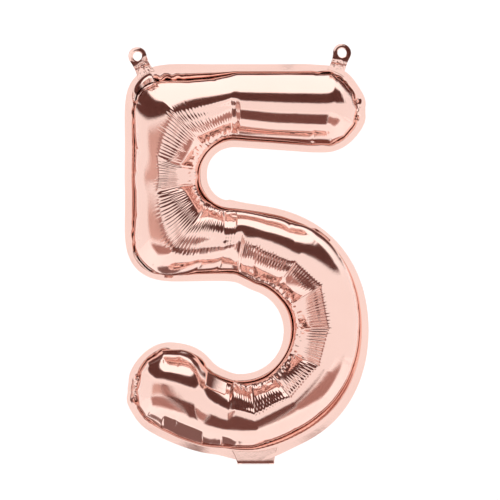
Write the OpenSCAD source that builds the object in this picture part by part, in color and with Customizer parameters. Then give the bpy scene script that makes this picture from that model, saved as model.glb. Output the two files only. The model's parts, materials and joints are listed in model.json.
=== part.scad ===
// Air-filled foil balloon in the shape of the numeral 5.
// Two film blanks are welded together along a flat margin. Two tabs with punched holes hang it,
// and a flat fill neck with a pair of valve films lets the air in.
// The front faces -Y, +Z is up, and the origin is the centre of the left tab's hole.

/* [Film] */
// Thickness of one foil film
film_t = 0.5; // [0.3:0.1:1]
// Thickness of one valve film
valve_t = 0.3; // [0.2:0.1:0.4]
// Width of the flat welded margin
margin_w = 7.5; // [4:0.5:9]
// Deepest half thickness of the inflated stroke
half_depth = 40; // [30:1:44]

/* [Numeral] */
// Left edge of the numeral
left_x = -11; // [-14:1:-8]
// Top edge of the numeral
top_z = -7; // [-10:1:-4]
// Lower edge of the middle bar
bar_low_z = -198; // [-204:1:-192]
// Radius of the round end of the upper bay
bay_r = 24; // [18:1:28]
// Radius of the upper left corner
upper_corner_r = 31; // [24:1:38]
// Radius of the lower left corner
lower_corner_r = 34; // [26:1:40]
// Radius of the top bar's free end
bar_end_r = 37.5; // [34:0.5:40]
// Outer radius of the belly
belly_r = 110.5; // [106:0.5:116]
// How far the belly bulges past its radius on the diagonals
belly_bulge = 3; // [0:0.5:6]
// Inner radius of the belly
belly_bay_r = 37.5; // [32:0.5:42]
// Radius of the tail's free end
tail_end_r = 39; // [35:0.5:42]

/* [Hang tabs] */
// Radius of the hole in a tab
hole_r = 4; // [2.5:0.5:5]
// Outer radius of a tab's eye
eye_r = 8; // [7:0.5:10]
// Width of a tab where it folds
tab_root_w = 15; // [12:1:20]
// Distance from the hole to the fold
tab_reach = 13.5; // [11:0.5:16]
// Lean of the left tab to the left
left_lean = 20; // [0:5:45]
// Lean of the right tab to the right
right_lean = 10; // [0:5:45]
// Distance between the two holes
hole_spacing = 180; // [170:1:190]
// Height of the right hole above the left one
hole_rise = 3; // [0:1:6]

/* [Fill neck] */
// Width of the neck
neck_w = 32; // [24:1:40]
// Length of the neck
neck_l = 38; // [25:1:50]
// Width of a valve film
valve_w = 24; // [16:1:30]
// Length of the valve films inside the balloon
valve_l = 45; // [30:1:55]
// How far the neck is folded back from hanging straight down
neck_fold = 100; // [0:5:105]

/* [Hidden] */
$fn = 64;

foil = "#f0b8a8";
clear_film = "#e8eef0";

film_gap = 0.1;         // air left between films that lie on each other
fold_gap = 0.3;         // from a fold line to the film that turns about it
tab_fold_gap = 0.65;    // from a fold line to the margin that it leaves, so a tab's edge can turn
neck_fold_gap = 1.3;
ribs_in_skin = 10;      // flats across the inflated film

bay_c = [85, -104];                                 // centres of the round stretches
upper_corner_c = [left_x + upper_corner_r, top_z - upper_corner_r];
lower_corner_c = [left_x + lower_corner_r, bar_low_z + lower_corner_r];
bar_end_c = [164, -47.5];
belly_c = [93, -241];
belly_bay_c = [91, -242];
tail_upper_c = [30.5, -289.5];
tail_lower_c = [30.5, -295];

left_hole = [0, 0];
right_hole = [hole_spacing, hole_rise];
neck_x = 104;
neck_root_z = -356.5;                               // the margin reaches down to here at the neck
neck_axis_z = neck_root_z - neck_fold_gap;
valve_root_z = -340;

function turned(a) = [cos(a), sin(a)];
function unit(v) = v / norm(v);
function arc(c, r, a0, a1, n) = [for (i = [0:n]) c + r * turned(a0 + (a1 - a0) * i / n)];
function line(p, q, n) = [for (i = [0:n]) p + (q - p) * i / n];
// Points of a path projected on a circle, so that each pair stands square to both
function onto(c, r, path) = [for (p = path) c + r * unit(p - c)];
function without_first(v) = [for (i = [1:len(v) - 1]) v[i]];

// The stroke runs from the top bar's free end round to the tail. Each stretch has as many points
// on its left edge as on its right edge, and each pair is one rib across the stroke.
corner_path = concat(
    without_first(line([bay_c[0], top_z], [upper_corner_c[0], top_z], 4)),
    without_first(arc(upper_corner_c, upper_corner_r, 90, 180, 7)),
    without_first(line([left_x, upper_corner_c[1]], [left_x, lower_corner_c[1]], 7)),
    without_first(arc(lower_corner_c, lower_corner_r, 180, 270, 6)),
    without_first(line([lower_corner_c[0], bar_low_z], [bay_c[0], bar_low_z], 4)));
belly_path = [for (i = [0:24]) let (a = 76 - 176 * i / 24)
    belly_c + (belly_r + belly_bulge * pow(sin(2 * a), 2)) * turned(a)];

left_edge = concat(
    arc(bar_end_c, bar_end_r, -10, -90, 6),
    without_first(line([bar_end_c[0], bar_end_c[1] - bar_end_r], bay_c + [0, bay_r], 5)),
    onto(bay_c, bay_r, corner_path),
    belly_path,
    [[60, -349.5], [44, -345], [25, -337.5]],
    arc(tail_lower_c, tail_end_r + 1.5, 236, 188, 3));
right_edge = concat(
    arc(bar_end_c, bar_end_r, 10, 42, 3), [[187, -16.5], [181, -11.5], [171, top_z]],
    without_first(line([171, top_z], [bay_c[0], top_z], 5)),
    corner_path,
    onto(belly_bay_c, belly_bay_r, belly_path),
    [[69, -272.5], [57.5, -260], [45, -253.5]],
    arc(tail_upper_c, tail_end_r, 96, 170, 3));
rib_count = len(left_edge);

// The whole outline as one closed run, left edge first
outline = concat(left_edge, [for (i = [rib_count - 1:-1:0]) right_edge[i]]);
outline_count = len(outline);

function square_to(v) = unit([v[1], -v[0]]);
function inward(i, d) = outline[i] + d * square_to(
    outline[(i + 1) % outline_count] - outline[(i + outline_count - 1) % outline_count]);

// A shoulder of the margin reaches out to the straight fold line of each tab and of the neck
shoulders = [
    [left_hole - tab_reach * turned(90 + left_lean), turned(left_lean), tab_root_w / 2, tab_fold_gap],
    [right_hole - tab_reach * turned(90 - right_lean), turned(-right_lean), tab_root_w / 2,
        tab_fold_gap],
    [[neck_x, neck_root_z], [-1, 0], neck_w / 2 + 1.5, 0]];
shoulder_reach = 11;
function on_line(p, s) =
    let (d = p - s[0], along = d * s[1], out = [-s[1][1], s[1][0]], off = d * out)
    abs(along) < s[2] + 7.5 && abs(off) < shoulder_reach
        ? s[0] + max(-s[2], min(s[2], along)) * s[1] - s[3] * out : p;
function shouldered(p) = on_line(on_line(on_line(p, shoulders[0]), shoulders[1]), shoulders[2]);

edge_ring = [for (p = outline) shouldered(p)];
function seam_ring(d) = [for (i = [0:outline_count - 1]) inward(i, d)];

// One inflated skin: a run of points across each rib, from the seam on the left edge over to the
// seam on the right edge. side is -1 for the front and 1 for the back.
function skin(inset, rise, side) =
    let (seam = seam_ring(inset))
    [for (i = [0:rib_count - 1])
        let (a = seam[i], b = seam[outline_count - 1 - i],
             depth = min(norm(outline[outline_count - 1 - i] - outline[i]) / 2 - margin_w, half_depth))
        [for (j = [0:ribs_in_skin])
            let (u = 180 * j / ribs_in_skin, p = a + (b - a) * (1 - cos(u)) / 2)
            [p[0], side * (rise + depth * sin(u)), p[1]]]];

function at_depth(ring, y) = [for (p = ring) [p[0], y, p[1]]];
function flat_list(v) = [for (a = v) for (b = a) b];
// Triangles over a grid of points whose first index is given
function grid_faces(first, rows, cols) = [for (i = [0:rows - 2]) for (j = [0:cols - 2])
    let (a = first + i * cols + j, b = a + cols) each [[a, a + 1, b + 1], [a, b + 1, b]]];
// Triangles between two closed runs of points of the same length
function ring_faces(first_a, first_b, n) = [for (i = [0:n - 1])
    let (k = (i + 1) % n)
    each [[first_a + i, first_b + k, first_a + k], [first_a + i, first_b + i, first_b + k]]];
// Where a ring's points stand in a skin's own grid
function skin_index(first, i, cols) =
    i < rib_count ? first + i * cols : first + (outline_count - 1 - i) * cols + cols - 1;
function hem_faces(first_ring, first_skin, cols) = [for (i = [0:outline_count - 1])
    let (k = (i + 1) % outline_count, a = skin_index(first_skin, i, cols),
         b = skin_index(first_skin, k, cols))
    each [[first_ring + i, b, first_ring + k], [first_ring + i, a, b]]];
function end_face(first, row, cols, flip) =
    let (f = [for (j = [0:cols - 1]) first + row * cols + (flip ? cols - 1 - j : j)]) [f];
function reversed(faces) = [for (f = faces) [for (i = [len(f) - 1:-1:0]) f[i]]];

// One foil blank as it stands when the balloon is full: its flat margin and its inflated skin
module foil_panel(side) {
    cols = ribs_in_skin + 1;
    outer_edge = at_depth(edge_ring, side * film_t);
    weld_edge = at_depth(edge_ring, 0);
    outer_skin = skin(margin_w, film_t, side);
    inner_skin = skin(margin_w + film_t, 0, side);
    points = concat(outer_edge, weld_edge, flat_list(outer_skin), flat_list(inner_skin));
    outer_first = 2 * outline_count;
    inner_first = outer_first + rib_count * cols;
    outside = concat(hem_faces(0, outer_first, cols), grid_faces(outer_first, rib_count, cols),
        end_face(outer_first, 0, cols, true), end_face(outer_first, rib_count - 1, cols, false));
    inside = concat(hem_faces(outline_count, inner_first, cols),
        grid_faces(inner_first, rib_count, cols), end_face(inner_first, 0, cols, true),
        end_face(inner_first, rib_count - 1, cols, false));
    faces = concat(outside, reversed(inside), ring_faces(outline_count, 0, outline_count));
    polyhedron(points, side < 0 ? reversed(faces) : faces, convexity = 6);
}

module front_panel() { color(foil) foil_panel(-1); }
module back_panel() { color(foil) foil_panel(1); }

// A tab lies in the plane of the margins, both films welded together, with its eye upwards
module hang_tab() {
    rotate([90, 0, 0])
        linear_extrude(2 * film_t, center = true)
            difference() {
                polygon(concat(arc([0, 0], eye_r, -4, 184, 32),
                    [[-tab_root_w / 2, fold_gap - tab_reach], [tab_root_w / 2, fold_gap - tab_reach]]));
                circle(hole_r);
            }
}
module left_hang_tab() { color(foil) rotate([0, -left_lean, 0]) hang_tab(); }
module right_hang_tab() {
    color(foil) translate([right_hole[0], 0, right_hole[1]]) rotate([0, right_lean, 0]) hang_tab();
}

// Neck films are drawn hanging down from the fold line at the origin, then folded back
module in_neck() { translate([neck_x, 0, neck_axis_z]) rotate([neck_fold, 0, 0]) children(); }
module neck_film(side) {
    near = valve_t + 1.5 * film_gap;
    translate([0, side * (near + film_t / 2), 0]) rotate([90, 0, 0])
        linear_extrude(film_t, center = true)
            polygon([[-neck_w / 2, -fold_gap], [neck_w / 2, -fold_gap],
                [neck_w / 2, -neck_l], [-neck_w / 2, -neck_l]]);
}
module valve_film(side, from_z, to_z) {
    translate([-valve_w / 2, side > 0 ? film_gap / 2 : -film_gap / 2 - valve_t, from_z])
        cube([valve_w, valve_t, to_z - from_z]);
}
module neck_front_film() { color(foil) in_neck() neck_film(-1); }
module neck_back_film() { color(foil) in_neck() neck_film(1); }
module neck_valve_front() { color(clear_film) in_neck() valve_film(-1, -neck_l + 3, -fold_gap); }
module neck_valve_back() { color(clear_film) in_neck() valve_film(1, -neck_l + 3, -fold_gap); }
module inner_valve(side) {
    translate([neck_x, 0, 0]) valve_film(side, valve_root_z, valve_root_z + valve_l);
}
module valve_front_film() { color(clear_film) inner_valve(-1); }
module valve_back_film() { color(clear_film) inner_valve(1); }

front_panel();
back_panel();
left_hang_tab();
right_hang_tab();
neck_front_film();
neck_back_film();
neck_valve_front();
neck_valve_back();
valve_front_film();
valve_back_film();
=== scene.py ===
import json
import math

import bpy
import numpy as np
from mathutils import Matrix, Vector


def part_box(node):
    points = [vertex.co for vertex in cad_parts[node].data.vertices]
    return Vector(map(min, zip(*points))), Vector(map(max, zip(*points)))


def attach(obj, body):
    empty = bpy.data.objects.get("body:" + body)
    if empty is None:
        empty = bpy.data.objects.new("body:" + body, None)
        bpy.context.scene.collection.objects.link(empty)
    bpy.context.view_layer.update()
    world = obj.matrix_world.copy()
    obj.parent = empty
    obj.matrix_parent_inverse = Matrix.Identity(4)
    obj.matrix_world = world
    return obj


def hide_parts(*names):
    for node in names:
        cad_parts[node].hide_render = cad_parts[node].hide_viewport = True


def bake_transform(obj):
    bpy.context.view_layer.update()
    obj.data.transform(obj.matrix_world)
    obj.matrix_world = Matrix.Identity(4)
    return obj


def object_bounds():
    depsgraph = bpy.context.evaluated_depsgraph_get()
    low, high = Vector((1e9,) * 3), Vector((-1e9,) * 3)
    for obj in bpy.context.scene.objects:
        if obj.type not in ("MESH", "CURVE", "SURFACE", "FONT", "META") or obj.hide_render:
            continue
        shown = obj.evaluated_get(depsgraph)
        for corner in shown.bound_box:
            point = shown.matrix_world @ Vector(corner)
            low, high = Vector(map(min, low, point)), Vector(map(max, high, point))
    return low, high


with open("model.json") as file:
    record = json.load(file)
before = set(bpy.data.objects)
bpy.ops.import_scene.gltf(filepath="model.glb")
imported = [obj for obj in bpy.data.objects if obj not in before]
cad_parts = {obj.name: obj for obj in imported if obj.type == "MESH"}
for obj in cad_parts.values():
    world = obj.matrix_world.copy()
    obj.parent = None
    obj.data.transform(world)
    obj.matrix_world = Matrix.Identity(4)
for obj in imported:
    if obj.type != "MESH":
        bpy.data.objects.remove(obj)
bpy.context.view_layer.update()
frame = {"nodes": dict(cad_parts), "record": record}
record = frame["record"]
print("frame loaded")

mm = 0.001


# small helpers

def unitRows(v):
    return v / (np.linalg.norm(v, axis=-1, keepdims=True) + 1e-12)


def smoothStep(x, low, high):
    t = np.clip((x - low) / (high - low), 0, 1)
    return t * t * (3 - 2 * t)


def throughPoints(points, t):
    # Catmull-Rom curve through the points, t counted in points
    p = np.vstack([2 * points[0] - points[1], points, 2 * points[-1] - points[-2]])
    i = np.clip(np.floor(t).astype(int), 0, len(points) - 2)
    u = (t - i)[:, None]
    a, b, c, d = p[i], p[i + 1], p[i + 2], p[i + 3]
    curve = 2 * b + (c - a) * u + (2 * a - 5 * b + 4 * c - d) * u ** 2
    return 0.5 * (curve + (3 * b - a - 3 * c + d) * u ** 3)


def runLength(points):
    # distance covered from the first point to each point
    return np.r_[0, np.cumsum(np.linalg.norm(np.diff(points, axis=0), axis=1))]


def gridFaces(ids):
    return np.stack([ids[:-1, :-1], ids[1:, :-1], ids[1:, 1:], ids[:-1, 1:]], -1).reshape(-1, 4)


def ringFaces(inner, outer):
    return np.stack([inner, np.roll(inner, -1), np.roll(outer, -1), outer], -1)


def addMesh(name, points, faces, material, smooth=1):
    # points in mm; smooth is the number of subdivision levels
    used, back = np.unique(faces, return_inverse=True)
    mesh = bpy.data.meshes.new(name)
    mesh.from_pydata((points[used] * mm).tolist(), [], back.reshape(faces.shape).tolist())
    mesh.polygons.foreach_set("use_smooth", [True] * len(mesh.polygons))
    mesh.materials.append(material)
    obj = bpy.data.objects.new(name, mesh)
    bpy.context.collection.objects.link(obj)
    if smooth:
        sub = obj.modifiers.new("finer", "SUBSURF")
        sub.levels = smooth
        sub.render_levels = smooth
    return obj


def addThickness(obj, thickness):
    solid = obj.modifiers.new("film", "SOLIDIFY")
    solid.thickness = thickness * mm
    solid.offset = 0


# foil and film materials

foil = {
    "colour": (0.95, 0.66, 0.585),
    "backColour": (0.94, 0.66, 0.59),
    "roughness": 0.09,
    "backRougher": 1.2,
    "cloudScale": 18,
    "grain": 0.02,          # depth of the fine rolling marks
    "grainScale": 240,
    "valveColour": (0.86, 0.90, 0.92),
    "valveAlpha": 0.45,
}


def foilMaterial(name, colour, roughness, grain):
    mat = bpy.data.materials.new(name)
    mat.use_nodes = True
    nodes = mat.node_tree.nodes
    links = mat.node_tree.links
    shader = nodes["Principled BSDF"]
    shader.inputs["Metallic"].default_value = 1
    coord = nodes.new("ShaderNodeTexCoord")
    # faint cloudiness in the metal layer
    cloud = nodes.new("ShaderNodeTexNoise")
    cloud.inputs["Scale"].default_value = foil["cloudScale"]
    cloud.inputs["Detail"].default_value = 4
    links.new(coord.outputs["Object"], cloud.inputs["Vector"])
    tint = nodes.new("ShaderNodeValToRGB")
    tint.color_ramp.elements[0].color = (colour[0] * 0.95, colour[1] * 0.92, colour[2] * 0.91, 1)
    tint.color_ramp.elements[1].color = (min(1, colour[0] * 1.03), colour[1] * 1.06, colour[2] * 1.07, 1)
    links.new(cloud.outputs["Fac"], tint.inputs["Fac"])
    links.new(tint.outputs["Color"], shader.inputs["Base Color"])
    haze = nodes.new("ShaderNodeMapRange")
    haze.inputs["To Min"].default_value = roughness * 0.7
    haze.inputs["To Max"].default_value = roughness * 1.5
    links.new(cloud.outputs["Fac"], haze.inputs["Value"])
    links.new(haze.outputs["Result"], shader.inputs["Roughness"])
    # rolling marks and tiny dents
    dents = nodes.new("ShaderNodeTexNoise")
    dents.inputs["Scale"].default_value = foil["grainScale"]
    dents.inputs["Detail"].default_value = 3
    links.new(coord.outputs["Object"], dents.inputs["Vector"])
    bump = nodes.new("ShaderNodeBump")
    bump.inputs["Strength"].default_value = grain
    bump.inputs["Distance"].default_value = 0.002
    links.new(dents.outputs["Fac"], bump.inputs["Height"])
    links.new(bump.outputs["Normal"], shader.inputs["Normal"])
    return mat


def filmMaterial(name, colour):
    mat = bpy.data.materials.new(name)
    mat.use_nodes = True
    nodes = mat.node_tree.nodes
    links = mat.node_tree.links
    shader = nodes["Principled BSDF"]
    shader.inputs["Base Color"].default_value = (*colour, 1)
    shader.inputs["Alpha"].default_value = foil["valveAlpha"]
    shader.inputs["IOR"].default_value = 1.5
    coord = nodes.new("ShaderNodeTexCoord")
    streak = nodes.new("ShaderNodeTexNoise")
    streak.inputs["Scale"].default_value = 90
    links.new(coord.outputs["Object"], streak.inputs["Vector"])
    haze = nodes.new("ShaderNodeMapRange")
    haze.inputs["To Min"].default_value = 0.12
    haze.inputs["To Max"].default_value = 0.35
    links.new(streak.outputs["Fac"], haze.inputs["Value"])
    links.new(haze.outputs["Result"], shader.inputs["Roughness"])
    return mat


frontMat = foilMaterial("frontFoil", foil["colour"], foil["roughness"], foil["grain"])
rougher = foil["roughness"] * foil["backRougher"]
backMat = foilMaterial("backFoil", foil["backColour"], rougher, foil["grain"])
valveMat = filmMaterial("valveFilm", foil["valveColour"])


# the weld line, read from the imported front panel

def weldLoops(node):
    # the flat faces in the weld's plane form one ring, and its two borders are the seam and the edge
    mesh = frame["nodes"][node].data
    xyz = np.array([v.co[:] for v in mesh.vertices]) / mm
    keys = {}
    same = np.array([keys.setdefault(tuple(np.round(p, 3)), i) for i, p in enumerate(xyz)])
    sides = {}
    for poly in mesh.polygons:
        ids = [int(same[i]) for i in poly.vertices]
        if max(abs(xyz[i][1]) for i in ids) > 0.01:
            continue
        for a, b in zip(ids, ids[1:] + ids[:1]):
            sides.setdefault(frozenset((a, b)), []).append((a, b))
    follow = {}
    for uses in sides.values():
        if len(uses) == 1:
            a, b = uses[0]
            follow.setdefault(a, []).append(b)
            follow.setdefault(b, []).append(a)
    loops = []
    left = set(follow)
    while left:
        first = min(left)
        loop = [first]
        left.discard(first)
        while True:
            steps = [n for n in follow[loop[-1]] if n in left]
            if not steps:
                break
            loop.append(steps[0])
            left.discard(steps[0])
        loops.append(xyz[loop][:, [0, 2]])
    loops.sort(key=lambda p: np.linalg.norm(p - np.roll(p, 1, 0), axis=1).sum())
    return loops[0], loops[-1]


def areaOf(p):
    q = np.roll(p, -1, 0)
    return 0.5 * np.sum(p[:, 0] * q[:, 1] - q[:, 0] * p[:, 1])


def strokeEdges(loop):
    # start at the free end of the top bar and go round clockwise, so the bay side comes first
    if areaOf(loop) > 0:
        loop = loop[::-1]
    middles = (loop + np.roll(loop, -1, 0)) / 2
    upper = middles[:, 1] > middles[:, 1].mean()
    start = int(np.argmax(np.where(upper, middles[:, 0], -1e9))) + 1
    loop = np.roll(loop, -start, 0)
    half = len(loop) // 2
    return loop[:half], loop[half:][::-1]


# the flat blank that fills out to this weld line

blank = {
    "ribStep": 1.35,        # along the stroke, before welding
    "filmCells": 28,        # across the stroke
    "marginCells": 3,
    "marginRange": (0.8, 1.9),      # narrowest and widest margin, as a share of the usual one
    "marginEvening": 60,
    "bendRatio": 1.38,      # how far a welded bend tightens when it fills
    "tipGrowth": 1.14,      # how far a round end shrinks when it fills
    "tipLength": 30.0,
}


def makeRibs(seam):
    a, b = strokeEdges(seam)
    t = np.linspace(0, len(a) - 1, 6000)
    left = throughPoints(a, t)
    right = throughPoints(b, t)
    steps = np.linalg.norm(np.diff(left, axis=0), axis=1) + np.linalg.norm(np.diff(right, axis=0), axis=1)
    along = np.r_[0, np.cumsum(steps / 2)]
    count = int(round(along[-1] / blank["ribStep"] / 2)) * 2
    t = np.interp(np.linspace(0, along[-1], count), along, t)
    return throughPoints(a, t), throughPoints(b, t)


def layFlat(left, right):
    # unrolls the ribs: each grows to the flat width of its tube, and bends open out
    across = right - left
    width = np.linalg.norm(across, axis=1)
    angle = np.unwrap(np.arctan2(across[:, 1], across[:, 0]))
    centre = (left + right) / 2
    along = runLength(centre)
    tip = 1 - np.minimum(along, along[-1] - along) / blank["tipLength"]
    tip = smoothStep(tip, 0, 1)
    grown = width * (math.pi / 2 * (1 - tip) + blank["tipGrowth"] * tip)
    flatAngle = angle[0] + np.r_[0, np.cumsum(np.diff(angle))] / blank["bendRatio"]
    flatCentre = np.zeros_like(centre)
    flatCentre[0] = centre[0]
    for i in range(len(left) - 1):
        turn = abs(angle[i + 1] - angle[i])
        mid = (angle[i] + angle[i + 1]) / 2
        rib = np.array([math.cos(mid), math.sin(mid)])
        step = centre[i + 1] - centre[i]
        slide = step @ rib
        ahead = step @ np.array([-rib[1], rib[0]])
        inner = abs(ahead) - (width[i] + width[i + 1]) / 4 * turn
        opened = inner + (grown[i] + grown[i + 1]) / 4 * turn / blank["bendRatio"]
        ends = (tip[i] + tip[i + 1]) / 2
        opened = opened * (1 - ends) + abs(ahead) * blank["tipGrowth"] * ends
        mid = (flatAngle[i] + flatAngle[i + 1]) / 2
        rib = np.array([math.cos(mid), math.sin(mid)])
        flatCentre[i + 1] = (flatCentre[i] + rib * slide * math.pi / 2
                             + np.array([-rib[1], rib[0]]) * math.copysign(opened, ahead))
    rib = np.stack([np.cos(flatAngle), np.sin(flatAngle)], 1) * grown[:, None] / 2
    return flatCentre - rib, flatCentre + rib, width


def outwardOf(ring, soften=6):
    side = unitRows(np.roll(ring, -1, 0) - np.roll(ring, 1, 0))
    for _ in range(soften):
        side = unitRows(np.roll(side, 1, 0) + 2 * side + np.roll(side, -1, 0))
    return np.stack([side[:, 1], -side[:, 0]], 1) * math.copysign(1, areaOf(ring))


def offsetRing(ring, distance, soften=6):
    return ring + outwardOf(ring, soften) * distance[:, None]


def marginWidths(ring, edge):
    # how far the cut edge stands outside each point of the weld line; shoulders of tabs and neck are wider
    closed = np.vstack([edge, edge[:1]])
    along = runLength(closed)
    t = np.arange(0, along[-1], 0.5)
    dense = np.stack([np.interp(t, along, closed[:, 0]), np.interp(t, along, closed[:, 1])], 1)
    out = outwardOf(ring)
    gap = dense[None] - ring[:, None]
    ahead = (gap * out[:, None]).sum(-1)
    aside = np.abs(gap[..., 0] * out[:, None, 1] - gap[..., 1] * out[:, None, 0])
    widths = np.where((ahead > 0.5) & (aside < 0.6), ahead, 99).min(1)
    usual = float(np.median(widths))
    narrow, wide = blank["marginRange"]
    widths = np.clip(widths, usual * narrow, usual * wide)
    for _ in range(blank["marginEvening"]):
        widths = (np.roll(widths, 1) + 2 * widths + np.roll(widths, -1)) / 4
    return widths


def buildNet():
    # one net of points for both foils: they share the weld line and the margin outside it
    seam, edge = weldLoops("front_panel")
    left, right = makeRibs(seam)
    flatLeft, flatRight, width = layFlat(left, right)
    ribs = len(left)
    cols = blank["filmCells"] + 1
    f = np.linspace(0, 1, cols)[None, :, None]
    flat = flatLeft[:, None] * (1 - f) + flatRight[:, None] * f
    g = (1 - np.cos(math.pi * f)) / 2
    plan = left[:, None] * (1 - g) + right[:, None] * g
    depth = (width / 2)[:, None] * np.sin(math.pi * f[..., 0])
    front = np.arange(ribs * cols).reshape(ribs, cols)
    back = front.copy()
    back[1:-1, 1:-1] = ribs * cols + np.arange((ribs - 2) * (cols - 2)).reshape(ribs - 2, cols - 2)
    weld = np.r_[front[:, 0], front[-1, 1:-1], front[::-1, -1], front[0, -2:0:-1]]
    total = int(back.max()) + 1
    rows = blank["marginCells"]
    margin = total + np.arange(rows * len(weld)).reshape(rows, len(weld))
    points = np.zeros((total + margin.size, 3))
    pattern = np.zeros((total + margin.size, 2))
    points[back] = np.stack([plan[..., 0], depth, plan[..., 1]], -1)
    points[front] = np.stack([plan[..., 0], -depth, plan[..., 1]], -1)
    pattern[back] = flat
    pattern[front] = flat
    weldPlan = points[weld][:, [0, 2]].copy()
    reach = marginWidths(weldPlan, edge)
    for k in range(rows):
        share = (k + 1) / rows
        points[margin[k], 0], points[margin[k], 2] = offsetRing(weldPlan, reach * share).T
        pattern[margin[k]] = offsetRing(pattern[weld], reach * share)
    rings = np.vstack([weld, margin])
    return {"points": points, "pattern": pattern, "front": front, "back": back, "rings": rings,
            "plan": weldPlan, "reach": reach, "left": left, "right": right}


# filling it with air

air = {
    "rounds": 1300,
    "quickRounds": 260,
    "easeIn": 60,           # rounds until full pressure
    "pressure": 0.006,
    "drag": 0.03,
    "shearHold": 0.35,
    "marginHold": 0.25,     # stiffness of the doubled margin against sharp kinks
    "marginFlat": 0.08,     # how firmly it stays in its plane
    "shapeHold": 0.06,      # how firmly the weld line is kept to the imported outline
    "slack": 0.03,          # film that is too long gathers in pleats instead of pushing back
    "slackAcross": 0.5,
    "unevenness": 0.05,     # of the film before it fills
    "edgeWave": 0.14,
    "ringEvening": 12,      # rounds of evening from one ring of the margin to the next
    "seed": 3,
}


def netLinks(net):
    # lists of point pairs in which no point comes twice, so each list is solved in one go
    links = []
    weld = net["rings"][0]
    welded = np.zeros(len(net["points"]), bool)
    welded[weld] = True

    def add(a, b, hold, slack=1):
        # the weld line is crimped to its filled length, and the film beside it keeps its flat length
        a, b = np.ravel(a), np.ravel(b)
        length = np.linalg.norm(net["pattern"][a] - net["pattern"][b], axis=1)
        filled = np.linalg.norm(net["points"][a] - net["points"][b], axis=1)
        links.append((a, b, np.where(welded[a] & welded[b], filled, length), hold, slack))

    def addRows(ids, hold, slack):
        for odd in (0, 1):
            a, b = ids[odd:-1:2], ids[odd + 1::2]
            add(a[:len(b)], b[:len(a)], hold, slack)

    for side in ("front", "back"):
        ids = net[side]
        trim = slice(1, -1) if side == "back" else slice(None)
        addRows(ids[:, trim], 1, air["slack"])
        addRows(ids[trim].T, 1, air["slackAcross"])
        for odd in (0, 1):
            a, b = ids[odd:-1:2], ids[odd + 1::2]
            a, b = a[:len(b)], b[:len(a)]
            add(a[:, :-1], b[:, 1:], air["shearHold"], air["slack"])
            add(a[:, 1:], b[:, :-1], air["shearHold"], air["slack"])
    for gap in (3, 7):
        for first in range(2 * gap):
            a = weld[first::2 * gap]
            b = np.roll(weld, -gap)[first::2 * gap]
            fits = ~np.isin(b, a)
            add(a[fits], b[fits], air["marginHold"])
    return links


def push(points, ids, sign):
    p = points[ids]
    area = np.cross(p[1:, 1:] - p[:-1, :-1], p[:-1, 1:] - p[1:, :-1]) * (sign / 8)
    force = np.zeros_like(p)
    force[1:, 1:] += area
    force[:-1, :-1] += area
    force[:-1, 1:] += area
    force[1:, :-1] += area
    return force.reshape(-1, 3)


def inflate(net):
    links = netLinks(net)
    front, back, weld = net["front"], net["back"], net["rings"][0]
    rng = np.random.default_rng(air["seed"])
    points = net["points"] + rng.normal(0, air["unevenness"], net["points"].shape)
    speed = np.zeros_like(points)
    home = np.stack([net["plan"][:, 0], np.zeros(len(weld)), net["plan"][:, 1]], 1)
    sign = -math.copysign(1, push(points, front, 1)[:, 1].sum())
    cell = np.linalg.norm(points[front[1:]] - points[front[:-1]], axis=-1).mean()
    cell *= np.linalg.norm(points[front[:, 1:]] - points[front[:, :-1]], axis=-1).mean()
    rounds = air["rounds"]
    for step in range(rounds):
        force = np.zeros_like(points)
        force[front.ravel()] += push(points, front, sign)
        force[back.ravel()] += push(points, back, -sign)
        gain = air["pressure"] * min(1, step / air["easeIn"]) / cell
        moved = points + speed * (1 - air["drag"]) + force * gain
        for a, b, length, hold, slack in links:
            gap = moved[b] - moved[a]
            size = np.sqrt(np.einsum("ij,ij->i", gap, gap)) + 1e-9
            pull = 0.5 * hold * (1 - length / size)
            gap *= np.maximum(pull, pull * slack)[:, None]
            moved[a] += gap
            moved[b] -= gap
        moved[weld] += (home - moved[weld]) * air["shapeHold"]
        moved[weld, 1] -= moved[weld, 1] * air["marginFlat"]
        speed = moved - points
        points = moved
    print("filled, last movement", round(float(np.abs(speed).max()), 3))
    return layMargin(net, points)


def layMargin(net, points):
    # the doubled margin lies flat outside the weld line, with a slightly wavy cut edge
    rings = net["rings"]
    line = points[rings[0]].copy()
    place = np.arange(len(line))
    wave = np.sin(place * 0.21) + np.sin(place * 0.083 + 1)
    soft = line[:, 1].copy()
    for k, ring in enumerate(rings[1:], 1):
        share = k / (len(rings) - 1)
        for _ in range(air["ringEvening"]):
            line = (np.roll(line, 1, 0) + 2 * line + np.roll(line, -1, 0)) / 4
        plan = offsetRing(line[:, [0, 2]], net["reach"] * share, 14)
        for _ in range(4):
            soft = (np.roll(soft, 1) + 2 * soft + np.roll(soft, -1)) / 4
        points[ring, 0], points[ring, 2] = plan.T
        points[ring, 1] = soft + air["edgeWave"] * wave * share
    return points


net = buildNet()
print("blank has", len(net["points"]), "points")
full = inflate(net)


# facets, cross creases and pleats

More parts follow.
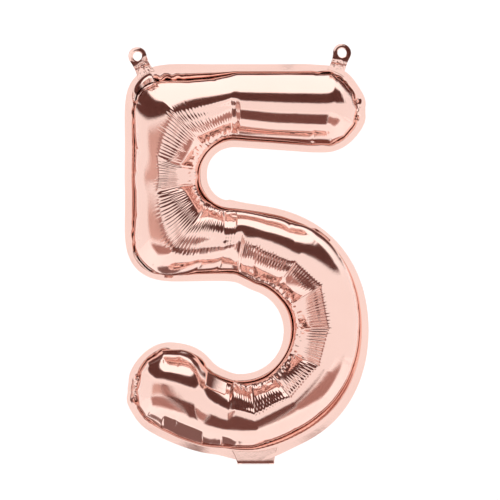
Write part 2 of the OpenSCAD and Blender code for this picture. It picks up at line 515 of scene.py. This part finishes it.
folds = {
    "finer": 2,             # film points for each point of the filled net
    "settle": 160,          # rounds of evening out the largest gathers
    "settleEnds": 700,      # and near the free ends
    "evenEnds": 0.97,       # how far the free ends are drawn to an even tube
    "creaseTurn": 30.0,     # degrees of bend between cross creases
    "creaseDepth": 0.55,
    "creaseWidth": 1.3,
    "facet": 0.95,          # how straight the inner side is between two creases
    "pillow": 1.0,          # how far the film stands up between two creases
    "gather": 0.5,          # height of the small gathers at the inner weld
    "puckerStep": 17.0,     # between folds at the outer weld of a corner
    "puckerDepth": 1.1,
    "hemStart": 128.0,      # degrees round the tube between which the tail's low side lies flat
    "hemEnd": 171.0,
    "tipSpokes": 9,         # round each free end
    "tipFacet": 1.0,        # how straight the weld line is between two spokes
    "tipDepth": 0.7,
    "tipPleat": 0.12,
    "pleatSteps": (3, 4, 4, 4, 5),      # points from one groove to the next
    "pleatHeight": 0.34,
    "pleatStart": 54.0,     # degrees round the tube from the inner seam
    "pleatEnd": 95.0,
    "pleatWander": 14.0,    # how far that end strays
    "sink": 1.5,            # the gathered side lies this much lower than the smooth one
    "bead": 0.22,           # crimps along the weld line
    "seed": 8,
}


def finer(grid, times):
    # a smooth surface through the grid, with more points both ways
    for axis in (0, 1):
        g = np.swapaxes(grid, 0, axis)
        t = np.linspace(0, len(g) - 1, (len(g) - 1) * times + 1)
        flat = throughPoints(g.reshape(len(g), -1), t)
        grid = np.swapaxes(flat.reshape((len(t),) + g.shape[1:]), 0, axis)
    return grid


def softNoise(count, spacing, rng):
    # a smooth random run between -1 and 1, one knot every few points
    knots = rng.uniform(-1, 1, int(count / spacing) + 4)
    return np.interp(np.arange(count) / spacing, np.arange(len(knots)), knots)


def gridNormals(grid, side):
    along = np.gradient(grid, axis=0)
    across = np.gradient(grid, axis=1)
    n = unitRows(np.cross(along, across))
    return n * (-side if n[..., 1].mean() * side < 0 else side) * side


def strokeFacts(left, right, count):
    # width, direction and distance along the stroke at each rib, and how sharply it turns there
    t = np.linspace(0, len(left) - 1, count)
    left, right = throughPoints(left, t), throughPoints(right, t)
    across = right - left
    width = np.linalg.norm(across, axis=1)
    angle = np.unwrap(np.arctan2(across[:, 1], across[:, 0]))
    along = runLength((left + right) / 2)
    turn = np.gradient(angle, along)
    window = np.hanning(41)
    window /= window.sum()
    turn = np.convolve(np.pad(turn, 20, mode="edge"), window, mode="valid")
    return width, angle, along, turn


def settle(grid, rounds, where):
    # evens out the largest gathers along the stroke, away from its weld lines
    middle = np.clip(np.sin(np.linspace(0, math.pi, grid.shape[1])) * 1.6, 0, 1)
    share = middle[None, :, None] * where[:, None, None] * 0.9
    for _ in range(rounds):
        even = (grid[:-2] + grid[2:]) / 2
        grid[1:-1] += (even - grid[1:-1]) * share[1:-1]
    return grid


def evenEnds(grid, side, fromEnd):
    # the last stretch of each end is drawn toward an even tube
    even = finer(net["points"][net["front" if side < 0 else "back"]], folds["finer"])
    inside = np.sin(np.linspace(0, math.pi, grid.shape[1]))
    draw = (1 - smoothStep(fromEnd, 55, 95))[:, None] * smoothStep(inside, 0, 0.3)[None, :]
    return grid + (even - grid) * (draw * folds["evenEnds"])[..., None]


def tipSpokes(grid, ends):
    # for each free end: its hub, the hub's distance from the tip, and each point's place round it
    for first in (True, False):
        tip = grid[0, grid.shape[1] // 2] if first else grid[-1, grid.shape[1] // 2]
        inStroke = ends > 0.999
        inside = int(np.argmax(inStroke)) if first else len(ends) - 1 - int(np.argmax(inStroke[::-1]))
        hub = (grid[inside, 0] + grid[inside, -1]) / 2
        gap = grid[..., [0, 2]] - hub[[0, 2]]
        axis = unitRows((tip - hub)[[0, 2]])
        angle = np.arctan2(gap[..., 0] * axis[1] - gap[..., 1] * axis[0], gap @ axis)
        far = np.linalg.norm(gap, axis=-1) / np.linalg.norm((tip - hub)[[0, 2]])
        rng = np.random.default_rng(folds["seed"] + 50 + first)
        spokes = np.linspace(-1, 1, folds["tipSpokes"]) * math.radians(98)
        spokes[1:-1] += rng.uniform(-0.07, 0.07, len(spokes) - 2)
        yield hub, angle, far, spokes


def facetTips(grid, ends):
    # the weld line of a round end fills out into short straight lengths
    for hub, angle, far, spokes in tipSpokes(grid, ends):
        k = np.clip(np.searchsorted(spokes, angle) - 1, 0, len(spokes) - 2)
        half = (spokes[k + 1] - spokes[k]) / 2
        off = angle - (spokes[k + 1] + spokes[k]) / 2
        ratio = np.where(np.abs(off) < half, np.cos(half) / np.cos(np.clip(off, -half, half)), 1)
        share = 1 + (ratio - 1) * folds["tipFacet"] * smoothStep(far, 0.45, 0.9)
        for axis in (0, 2):
            grid[..., axis] = hub[axis] + (grid[..., axis] - hub[axis]) * share
    return grid


def tipCreases(grid, ends):
    lift = np.zeros(grid.shape[:2])
    for hub, angle, far, spokes in tipSpokes(grid, ends):
        reach = smoothStep(far, 0.5, 0.85) * (1 - smoothStep(far, 0.9, 0.97))
        for spoke in spokes:
            lift -= folds["tipDepth"] * np.exp(-np.abs(angle - spoke) * far * 18) * reach
        reach = smoothStep(far, 0.62, 0.8) * (1 - smoothStep(far, 0.88, 0.95)) * (np.abs(angle) < 1.7)
        lift += folds["tipPleat"] * np.sin(angle * 95) * reach
    return lift


def flattenHem(grid, along, fromInner):
    # along the low side of the tail the film lies flat between two lines
    fromTail = along[-1] - along
    where = smoothStep(fromTail, 30, 34) * (1 - smoothStep(fromTail, 84, 96))
    rows = np.arange(len(grid))
    first = np.abs(fromInner - folds["hemStart"]).argmin(1)
    last = np.abs(fromInner - folds["hemEnd"]).argmin(1)
    low, high = fromInner[rows, first][:, None], fromInner[rows, last][:, None]
    t = np.clip((fromInner - low) / (high - low), 0, 1)[..., None]
    chord = grid[rows, first][:, None] * (1 - t) + grid[rows, last][:, None] * t
    inside = (fromInner > low - 0.1) & (fromInner < high + 0.1)
    return grid + (chord - grid) * (where[:, None] * inside)[..., None]


def creasePlaces(angle, rng):
    # a cross crease every so many degrees of bend
    turned = np.r_[0, np.cumsum(np.abs(np.diff(angle)))]
    marks = [0]
    goal = math.radians(folds["creaseTurn"]) * rng.uniform(0.4, 0.9)
    while goal < turned[-1]:
        marks.append(int(np.argmin(np.abs(turned - goal))))
        goal += math.radians(folds["creaseTurn"]) * rng.uniform(0.75, 1.25)
    return np.unique(marks + [len(angle) - 1])


def crossCreases(marks, along, aroundTube, fromInner, high, bent, rng):
    # as far round the tube as the gathers reach
    reach = smoothStep(fromInner, 12, 40) * (1 - smoothStep(fromInner, high - 10, high + 6))
    lift = np.zeros(fromInner.shape)
    for m in marks[1:-1]:
        slant = rng.uniform(-0.05, 0.05)
        depth = folds["creaseDepth"] * rng.uniform(0.6, 1.5)
        off = along[:, None] - along[m] - slant * (aroundTube - 90)
        line = np.exp(-np.abs(off) / folds["creaseWidth"])
        lift -= depth * line * bent[:, None] * reach
    return lift


def finePleats(fromInner, high, bend, ends, rng):
    # grooves over the crest, ending raggedly
    count = len(fromInner)
    low = folds["pleatStart"] + 9 * softNoise(count, 60, rng) + 6 * softNoise(count, 2.2, rng)
    ragged = high[:, 0] + 4 + 5 * softNoise(count, 2.2, rng)
    band = smoothStep(fromInner, low[:, None] - 5, low[:, None] + 7)
    band = band * (1 - smoothStep(fromInner, ragged[:, None] - 8, ragged[:, None] + 3))
    strength = 0.75 + 0.45 * softNoise(count, 34, rng)
    groove = np.zeros(count)
    at = 4
    while at < count - 4:
        groove[at - 1:at + 2] -= np.array([0.3, 1.1, 0.3]) * rng.uniform(0.7, 1.2)
        at += rng.choice(folds["pleatSteps"])
    groove += 0.4
    strong = bend * ends * np.clip(strength, 0, 1.3)
    return folds["pleatHeight"] * groove[:, None] * band * strong[:, None]


def innerGathers(fromInner, bent, rng):
    # small gathers beside the inner weld line of each bend
    count = len(fromInner)
    inner = smoothStep(fromInner, 8, 18) * (1 - smoothStep(fromInner, 30, 46))
    gathers = np.stack([softNoise(count, 3.5, rng) for _ in range(7)], 1)
    rows = np.clip(fromInner / 8, 0, 5.99) + np.zeros((count, 1))
    low = np.floor(rows).astype(int)
    pick = np.arange(count)[:, None]
    spread = gathers[pick, low] * (1 - rows + low) + gathers[pick, low + 1] * (rows - low)
    return folds["gather"] * spread * inner * bent[:, None]


def outerPuckers(along, fromInner, sharpness, rng):
    # short folds square to the outer weld line, where it turns most
    depth = np.zeros(fromInner.shape)
    strong = smoothStep(np.abs(sharpness), 0.55, 1.1)
    at = folds["puckerStep"] * 0.5
    while at < along[-1]:
        off = along[:, None] - at - rng.uniform(-0.08, 0.08) * (180 - fromInner)
        high = smoothStep(fromInner, rng.uniform(112, 128), 150) * (1 - smoothStep(fromInner, 170, 178))
        line = np.exp(-np.abs(off) / 2.4) * rng.uniform(0.4, 1.2)
        depth -= folds["puckerDepth"] * line * high
        at += folds["puckerStep"] * rng.uniform(0.6, 1.4)
    return depth * strong[:, None]


def seamCrimps(along, edge, rng):
    crimp = np.sin(along * 2.1) * np.clip(softNoise(len(along), 40, rng), 0, 1)
    crimp = np.exp(-((edge - 14) / 9) ** 2) * crimp[:, None]
    return folds["bead"] * crimp * (edge > 2)


def foldFilm(grid, side, rng):
    # works every kind of fold into one side of the filled net
    count, cols = grid.shape[:2]
    width, angle, along, turn = strokeFacts(net["left"], net["right"], count)
    fromEnd = np.minimum(along, along[-1] - along)
    grid = settle(grid, folds["settle"], np.ones(count))
    nearEnd = smoothStep(fromEnd, 14, 30) * (1 - smoothStep(fromEnd, 75, 100))
    grid = settle(grid, folds["settleEnds"], nearEnd)
    grid = evenEnds(grid, side, fromEnd)
    bend = smoothStep(np.abs(turn) * width, 0.30, 0.75) * smoothStep(fromEnd, 58, 72)
    ends = smoothStep(fromEnd, 14, 34)
    bent = bend * ends
    aroundTube = np.degrees(np.linspace(0, math.pi, cols))[None, :]
    fromInner = np.where(turn[:, None] < 0, 180 - aroundTube, aroundTube)
    # between creases the inner side of the tube is straight
    marks = creasePlaces(angle, rng)
    place = np.interp(np.arange(count), marks, np.arange(len(marks)))
    k = np.clip(np.floor(place).astype(int), 0, len(marks) - 2)
    t = (place - k)[:, None, None]
    straight = grid[marks[k]] * (1 - t) + grid[marks[k + 1]] * t
    reach = smoothStep(fromInner, 6, 26) * (1 - smoothStep(fromInner, 84, 124))
    weight = (bent * folds["facet"])[:, None] * reach
    grid = grid + (straight - grid) * weight[..., None]
    grid = facetTips(grid, ends)
    grid = flattenHem(grid, along, fromInner)
    normal = gridNormals(grid, side)
    # how far round the tube the gathered side reaches
    high = (folds["pleatEnd"] + folds["pleatWander"] * softNoise(count, 90, rng))[:, None]
    lift = crossCreases(marks, along, aroundTube, fromInner, high, bent, rng)
    # each length between creases stands up like a small pillow
    swell = rng.uniform(0.4, 1.4, len(marks))[k] * (1 - (2 * (place - k) - 1) ** 2)
    pillow = smoothStep(fromInner, 22, 50) * (1 - smoothStep(fromInner, high - 26, high + 2))
    lift += folds["pillow"] * (swell * bend * ends)[:, None] * pillow
    # and the whole gathered side lies a step lower than the smooth outer side
    step = smoothStep(fromInner, 16, 46) * (1 - smoothStep(fromInner, high - 13, high + 1))
    lift -= folds["sink"] * step * bent[:, None]
    lift += finePleats(fromInner, high, bend, ends, rng)
    lift += innerGathers(fromInner, bent, rng)
    lift += tipCreases(grid, ends)
    lift += outerPuckers(along, fromInner, turn * width, rng)
    edge = np.minimum(aroundTube, 180 - aroundTube)
    lift += seamCrimps(along, edge, rng)
    return grid + normal * (lift * (edge > 0.1))[..., None]


def patternArea(pattern, faces):
    p = pattern[faces]
    d1, d2 = p[:, 2] - p[:, 0], p[:, 3] - p[:, 1]
    return float(np.abs(d1[:, 0] * d2[:, 1] - d1[:, 1] * d2[:, 0]).sum() / 2)


def ringPlaces(points, ring):
    # where each point of the finer weld line falls along the coarser one, counted in points
    coarse = runLength(ring)
    fine = runLength(points)
    whole = fine[-1] + np.linalg.norm(points[0] - points[-1])
    places = np.interp(fine / whole * coarse[-1], coarse, np.arange(len(coarse)))
    return np.minimum(places, len(ring) - 1 - 1e-6)


def makeFoil(name, side, material, node):
    rng = np.random.default_rng(folds["seed"] + (side == "back"))
    facing = -1 if side == "front" else 1
    grid = foldFilm(finer(full[net[side]], folds["finer"]), facing, rng)
    count, cols = grid.shape[:2]
    ids = np.arange(count * cols).reshape(count, cols)
    weld = np.r_[ids[:, 0], ids[-1, 1:-1], ids[::-1, -1], ids[0, -2:0:-1]]
    # the margin outside the weld, with the same points along it
    rings = [np.vstack([full[r], full[r[:1]]]) for r in net["rings"]]
    near = ringPlaces(grid.reshape(-1, 3)[weld], rings[0])
    low = np.floor(near).astype(int)
    part = (near - low)[:, None]
    points = [grid.reshape(-1, 3)]
    faces = [gridFaces(ids)]
    last = weld
    for k, ring in enumerate(rings[1:]):
        points.append(ring[low] * (1 - part) + ring[np.minimum(low + 1, len(ring) - 1)] * part)
        here = count * cols + k * len(weld) + np.arange(len(weld))
        faces.append(ringFaces(last, here))
        last = here
    points = np.vstack(points)
    # the two films lie side by side in the weld
    points[weld, 1] += 0.05 * facing
    points[count * cols:, 1] += 0.05 * facing
    obj = addMesh(name, points, np.vstack(faces), material, 0)
    flatFaces = [gridFaces(net[side])]
    flatFaces += [ringFaces(a, b) for a, b in zip(net["rings"][:-1], net["rings"][1:])]
    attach(obj, "envelope")
    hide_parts(node)
    patternArea(net["pattern"], np.vstack(flatFaces)) * mm * mm


makeFoil("frontFoil", "front", frontMat, "front_panel")
makeFoil("backFoil", "back", backMat, "back_panel")
print("foils made")


# roots: where a tab or the neck grows out of the margin

def rootRow(centre, along, half, count):
    # evenly spaced points along the filled margin, from one side of a fold line to the other
    ring = full[net["rings"][0]]
    middle = full[net["rings"][1]]
    ends = []
    for side in (-1, 1):
        spot = centre + along * side * half
        ends.append(int(np.argmin(np.linalg.norm(ring - spot, axis=1))))
    first, last = ends
    turns = (last - first + len(ring) / 2) % len(ring) - len(ring) / 2
    where = (first + turns * np.linspace(0, 1, count)) % len(ring)
    low = np.floor(where).astype(int) % len(ring)
    part = (where - np.floor(where))[:, None]
    return middle[low] * (1 - part) + middle[(low + 1) % len(ring)] * part


def ridges(u, seed, count=5):
    # a few sharp-topped folds across the width
    rng = np.random.default_rng(seed)
    height = np.zeros_like(u)
    for k in range(count):
        rate = rng.uniform(2.5, 9)
        fold = 1 - 2 * np.abs(np.sin(u * rate + rng.uniform(0, 6)))
        height += fold * rng.uniform(0.5, 1) / (1 + 0.15 * rate)
    return height / count


def jointOf(name):
    joint = next(j for j in record["behaviour"]["joints"] if j["name"] == name)
    return np.array(joint["pos_m"]) / mm, np.array(joint["axis"], float)


def mountOf(name):
    return np.array(next(m for m in record["mounts"] if m["name"] == name)["pos_m"]) / mm


# hang tabs

tab = {
    "hole": 4.0,            # radius
    "eye": 8.0,             # radius
    "eyeBelow": 14,         # degrees below level at which the eye runs into the stem
    "waist": 1.1,           # how far the stem draws in
    "root": 10.5,           # half the width where it leaves the margin
    "rings": 12,            # rows of points between hole and outline
    "crumple": 0.9,
    "fineCrumple": 0.35,
    "pinches": 5.0,         # small folds across the stem
    "pinch": 0.8,
    "tilt": 14.0,           # the eye leans back
    "lip": 0.22,            # the weld pressed round the hole
    "thickness": 0.12,
    "standOff": 0.18,       # how far it stands in front of the margin at its root
}


def makeTab(name, node, joint, mount, twist, curl, seed):
    # built flat round its hole, x along the fold line and z away from it, then given depth
    fold, along = jointOf(joint)
    hole = mountOf(mount)
    up = unitRows(np.array([-along[2], 0, along[0]]))
    drop = float((hole - fold) @ up)
    eyeTurns = np.radians(np.linspace(-tab["eyeBelow"], 180 + tab["eyeBelow"], 44))
    arc = np.stack([np.cos(eyeTurns), np.sin(eyeTurns)], 1) * tab["eye"]
    root = rootRow(fold, along, tab["root"], 26) - hole
    base = np.stack([root @ along, root @ up], 1)
    sides = []
    for start, stop in ((arc[-1], base[0]), (base[-1], arc[0])):
        t = np.linspace(0, 1, 14)[1:-1, None]
        waist = start * (1 - t) + stop * t
        inward = np.sin(math.pi * t[:, 0]) * tab["waist"]
        waist[:, 0] -= np.sign(waist[:, 0]) * inward
        sides.append(waist)
    outer = np.vstack([arc, sides[0], base, sides[1]])
    turn = np.arctan2(outer[:, 1], outer[:, 0])
    inner = np.stack([np.cos(turn), np.sin(turn)], 1) * tab["hole"]
    f = np.linspace(0, 1, tab["rings"])[:, None, None]
    flat = inner[None] * (1 - f) + outer[None] * f
    x, z = flat[..., 0], flat[..., 1]
    low = np.clip(-z / drop, 0, 1.3)    # 0 at the hole, 1 at the fold line
    radius = np.hypot(x, z)
    spread = x / (tab["eye"] * (1 + 0.5 * low))
    stem = smoothStep(low, 0.35, 0.8) * smoothStep(1.28 - low, 0, 0.45)
    y = ridges(spread * 1.3, seed) * tab["crumple"] * stem
    y += ridges(spread * 2.9 + z * 0.06, seed + 7) * tab["fineCrumple"] * smoothStep(radius, 5.5, 8)
    pinch = np.abs((low * tab["pinches"] + 0.12 * spread) % 1 - 0.5) * 4 - 1
    y += tab["pinch"] * pinch * smoothStep(low, 0.5, 0.66) * smoothStep(1.05 - low, 0, 0.15)
    y += curl * np.maximum(z - x, 0) ** 2 * 0.5
    y -= tab["lip"] * np.exp(-((radius - 5.0) / 0.7) ** 2)
    y += x * math.tan(math.radians(twist)) * smoothStep(1 - low, 0.1, 0.9)
    y += z * math.tan(math.radians(tab["tilt"])) * smoothStep(1 - low, 0.1, 0.5)
    rising = slice(None, None, 1 if base[0, 0] < base[-1, 0] else -1)
    rootDepth = np.interp(x, base[rising, 0], root[rising, 1])
    y += rootDepth * smoothStep(low, 0.5, 1.1)
    points = hole + x[..., None] * along + z[..., None] * up + np.array([0, 1, 0]) * y[..., None]
    points[..., 1] -= tab["standOff"] * smoothStep(low, 0.7, 1.1)
    ids = np.arange(points[..., 0].size).reshape(points.shape[:2])
    faces = np.concatenate([ringFaces(a, b) for a, b in zip(ids[:-1], ids[1:])])
    obj = addMesh(name, points.reshape(-1, 3), faces, frontMat)
    addThickness(obj, tab["thickness"])
    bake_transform(obj)
    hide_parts(node)


makeTab("leftTab", "left_hang_tab", "left_tab_fold", "left_tab_hole", -16, -0.06, 5)
makeTab("rightTab", "right_hang_tab", "right_tab_fold", "right_tab_hole", 7, -0.02, 11)
print("tabs made")


# fill neck and valve

neck = {
    "width": 32.0,
    "length": 38.0,
    "fold": 100.0,          # how far it lies back from hanging down
    "foldRadius": 1.3,
    "overlap": 5.0,         # how far its root runs up the margin
    "shoulder": 6.0,        # how much wider the root is on each side
    "mouth": 1.5,           # how far each film bows out at the mouth
    "crumple": 0.8,
    "thickness": 0.08,
}
valve = {
    "width": 24.0,
    "length": 45.0,
    "bow": 0.35,
    "neckStart": 0.6,       # where the films in the neck begin, below the fold line
    "neckInset": 3.0,       # and how far inside the mouth they end
    "neckBow": 0.5,
}


def neckPath(s):
    # distance below the fold line along the neck, to a point and an outward normal in the YZ plane
    radius, fold = neck["foldRadius"], math.radians(neck["fold"])
    turned = np.clip(s / radius, 0, fold)
    beyond = np.maximum(s - radius * fold, 0)
    y = radius * (1 - np.cos(turned)) + beyond * math.sin(fold)
    z = -radius * np.sin(turned) - beyond * math.cos(fold) + np.maximum(-s, 0)
    normal = np.stack([-np.cos(turned), -np.sin(turned)], -1)
    return y, z, normal


def makeNeckFilm(name, node, side, width, start, end, bow, material, seed, rooted):
    # a rooted film grows out of the margin; the others lie between the two rooted ones
    fold, along = jointOf("neck_fold")
    s = np.linspace(start, end, 40)[:, None]
    u = np.linspace(-1, 1, 25)[None, :]
    y, z, normal = neckPath(s + 0 * u)
    out = side * (0.12 + bow * (1 - u ** 2) * smoothStep(s, 2, end))
    wave = ridges(u * 1.4 + s * 0.02, seed) * neck["crumple"] * smoothStep(s, 1, 12)
    out = out + wave
    x = u * width / 2 * (1 + 0.03 * smoothStep(s, 10, end)) + 0.25 * np.sin(s * 0.7 + u)
    y = fold[1] + y - normal[..., 0] * out
    z = fold[2] + z - normal[..., 1] * out
    points = np.stack([fold[0] + x, y, z], -1)
    if rooted:
        row = rootRow(fold, np.array([1.0, 0, 0]), width / 2 + neck["shoulder"], 25)
        hold = (1 - smoothStep(s, start, 0.2))[..., None]
        points = points * (1 - hold) + row[None] * hold
        points[..., 1] += side * 0.12 * hold[..., 0]
    ids = np.arange(points[..., 0].size).reshape(points.shape[:2])
    obj = addMesh(name, points.reshape(-1, 3), gridFaces(ids), material)
    addThickness(obj, neck["thickness"])
    if rooted:
        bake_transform(obj)
    else:
        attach(obj, "fill_neck")
    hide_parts(node)


def makeValveFilm(name, node, side, body):
    low, high = [np.array(p[:]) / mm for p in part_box(node)]
    s = np.linspace(0, 1, 24)[:, None]
    u = np.linspace(-1, 1, 15)[None, :]
    x = (low[0] + high[0]) / 2 + u * valve["width"] / 2 + 0 * s
    z = low[2] + s * (high[2] - low[2]) + 0 * u
    y = (low[1] + high[1]) / 2 + side * valve["bow"] * (1 - u ** 2) * np.sin(math.pi * s)
    points = np.stack([x, y, z], -1)
    ids = np.arange(x.size).reshape(x.shape)
    obj = addMesh(name, points.reshape(-1, 3), gridFaces(ids), valveMat)
    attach(obj, body)
    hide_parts(node)


mouth = neck["length"]
start = -neck["overlap"]
makeNeckFilm("neckFrontFilm", "neck_front_film", -1, neck["width"], start, mouth, neck["mouth"],
             frontMat, 21, True)
makeNeckFilm("neckBackFilm", "neck_back_film", 1, neck["width"], start, mouth, neck["mouth"],
             backMat, 22, True)
start = valve["neckStart"]
mouth -= valve["neckInset"]
makeNeckFilm("neckValveFront", "neck_valve_front", -1, valve["width"], start, mouth, valve["neckBow"],
             valveMat, 21, False)
makeNeckFilm("neckValveBack", "neck_valve_back", 1, valve["width"], start, mouth, valve["neckBow"],
             valveMat, 21, False)
makeValveFilm("valveFrontFilm", "valve_front_film", -1, "front_valve")
makeValveFilm("valveBackFilm", "valve_back_film", 1, "back_valve")
print("neck and valve made")


# studio

studio = {
    "floorDrop": 1.5,       # floor below the balloon, metres
    "floorFront": 6.0,
    "floorHalf": 5,         # half its width
    "backdrop": 2.6,        # where the floor begins to sweep up behind it
    "sweep": 0.6,           # radius of that sweep
    "wall": 5,              # top of the wall above the floor
    "overhead": 1.4,        # brightness of the room above
    "eyeLevel": 1.03,       # and at eye level and below
    "glowFrom": 0.35,       # height at which it begins to brighten, 0 below to 1 overhead
    "glowTo": 0.8,
}
low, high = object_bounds()
middle = (low + high) / 2


def plainMaterial(name, colour, rough):
    mat = bpy.data.materials.new(name)
    mat.use_nodes = True
    shader = mat.node_tree.nodes["Principled BSDF"]
    shader.inputs["Base Color"].default_value = (*colour, 1)
    shader.inputs["Roughness"].default_value = rough
    return mat


def makeFloor():
    # floor that sweeps up into a backdrop
    far, bend = studio["backdrop"], studio["sweep"]
    floorZ = low.z - studio["floorDrop"]
    profile = [(-studio["floorFront"], floorZ)]
    for t in np.linspace(0, math.pi / 2, 13):
        profile.append((far + bend * math.sin(t), floorZ + bend * (1 - math.cos(t))))
    profile.append((far + bend, floorZ + studio["wall"]))
    xs = np.linspace(-studio["floorHalf"], studio["floorHalf"], 3)
    points = np.array([[(x, y, z) for x in xs] for y, z in profile]) / mm
    ids = np.arange(points[..., 0].size).reshape(points.shape[:2])
    paint = plainMaterial("floor", (0.9, 0.9, 0.9), 0.7)
    obj = addMesh("floor", points.reshape(-1, 3), gridFaces(ids), paint, 0)


def cardMaterial(name, colour):
    # fades out toward the card's borders
    mat = plainMaterial(name, colour, 0.8)
    nodes = mat.node_tree.nodes
    fade = nodes.new("ShaderNodeAttribute")
    fade.attribute_name = "fade"
    mat.node_tree.links.new(fade.outputs["Fac"], nodes["Principled BSDF"].inputs["Alpha"])
    return mat


def makeCard(name, distance, lowAngle, highAngle, left, right, soft, material):
    # a strip of card bent round the balloon, seen only in its reflections; the four angles are in
    # degrees, up from level and round from the front, and soft is how wide its borders fade
    rise = np.radians(np.linspace(lowAngle, highAngle, 24))[:, None]
    swing = np.radians(np.linspace(left, right, 60))[None, :]
    x = middle.x + distance * np.cos(rise) * np.sin(swing)
    y = middle.y - distance * np.cos(rise) * np.cos(swing)
    z = middle.z + distance * np.sin(rise) + 0 * swing
    points = np.stack([x, y, z], -1) / mm
    ids = np.arange(x.size).reshape(x.shape)
    obj = addMesh(name, points.reshape(-1, 3), gridFaces(ids), material, 0)
    rise, swing = np.degrees(rise), np.degrees(swing)
    fade = smoothStep(np.minimum(rise - lowAngle, highAngle - rise), 0, soft)
    fade = fade * smoothStep(np.minimum(swing - left, right - swing), 0, soft * 2)
    layer = obj.data.attributes.new("fade", "FLOAT", "POINT")
    layer.data.foreach_set("value", fade.ravel())
    obj.visible_camera = False


def makeLight(name, place, size, power):
    data = bpy.data.lights.new(name, "AREA")
    data.shape = "RECTANGLE"
    data.size, data.size_y = size
    data.energy = power
    obj = bpy.data.objects.new(name, data)
    obj.location = place
    obj.rotation_euler = (middle - Vector(place)).to_track_quat("-Z", "Y").to_euler()
    obj.visible_glossy = False
    bpy.context.collection.objects.link(obj)


makeFloor()
dark = cardMaterial("darkCard", (0.12, 0.042, 0.034))
brown = cardMaterial("brownCard", (0.15, 0.06, 0.05))
umber = cardMaterial("umberCard", (0.22, 0.13, 0.12))
dusk = cardMaterial("duskCard", (0.42, 0.24, 0.21))
blush = cardMaterial("blushCard", (0.70, 0.50, 0.45))
makeCard("upperCard", 0.8, 19, 54, -135, 100, 5, dark)
makeCard("lowerCard", 1.1, -56, -13, -32, 22, 6, brown)
makeCard("standCard", 1.12, -24, 14, -36, -11, 6, dusk)
makeCard("leftDusk", 1.15, -50, -18, -85, -18, 8, dusk)
makeCard("rightDusk", 1.15, -50, -18, 8, 85, 8, dusk)
makeCard("backUpperCard", 0.9, 14, 50, 120, 240, 8, dark)
makeCard("backLowerCard", 1.0, -50, -18, 150, 215, 8, brown)
makeCard("tailCard", 0.6, -80, -46, 184, 250, 5, umber)
makeCard("leftBlush", 1.2, -22, 16, -80, -12, 12, blush)
makeLight("topLight", (middle.x - 0.3, middle.y - 1.0, middle.z + 2.6), (2.4, 1.8), 22)
makeLight("leftLight", (middle.x - 2.4, middle.y - 1.2, middle.z + 0.6), (1.6, 2.0), 14)
makeLight("rightLight", (middle.x + 2.4, middle.y - 1.4, middle.z + 0.3), (1.4, 2.0), 10)

world = bpy.data.worlds.new("studio")
world.use_nodes = True
nodes, links = world.node_tree.nodes, world.node_tree.links
background = nodes["Background"]
background.inputs["Color"].default_value = (1, 0.99, 0.985, 1)
# brighter overhead than at eye level
spot = nodes.new("ShaderNodeTexCoord")
split = nodes.new("ShaderNodeSeparateXYZ")
links.new(spot.outputs["Generated"], split.inputs["Vector"])
bright = nodes.new("ShaderNodeMapRange")
bright.inputs["From Min"].default_value = studio["glowFrom"]
bright.inputs["From Max"].default_value = studio["glowTo"]
bright.inputs["To Min"].default_value = studio["eyeLevel"]
bright.inputs["To Max"].default_value = studio["overhead"]
links.new(split.outputs["Z"], bright.inputs["Value"])
links.new(bright.outputs["Result"], background.inputs["Strength"])
bpy.context.scene.world = world

view = {
    "distance": 2.4,
    "shown": 0.440,         # width of the view at the weld's plane
    "right": 0.099,         # aim, from the left tab's hole
    "down": 0.1705,
    "sensor": 36,
}
camera = bpy.data.cameras.new("camera")
camera.sensor_width = view["sensor"]
camera.lens = view["sensor"] * view["distance"] / view["shown"]
cameraObj = bpy.data.objects.new("camera", camera)
aim = mountOf("left_tab_hole") * mm
cameraObj.location = (aim[0] + view["right"], -view["distance"], aim[2] - view["down"])
cameraObj.rotation_euler = (math.pi / 2, 0, 0)
bpy.context.collection.objects.link(cameraObj)
bpy.context.scene.camera = cameraObj
bpy.context.scene.view_settings.view_transform = "Standard"

print("scene ready")
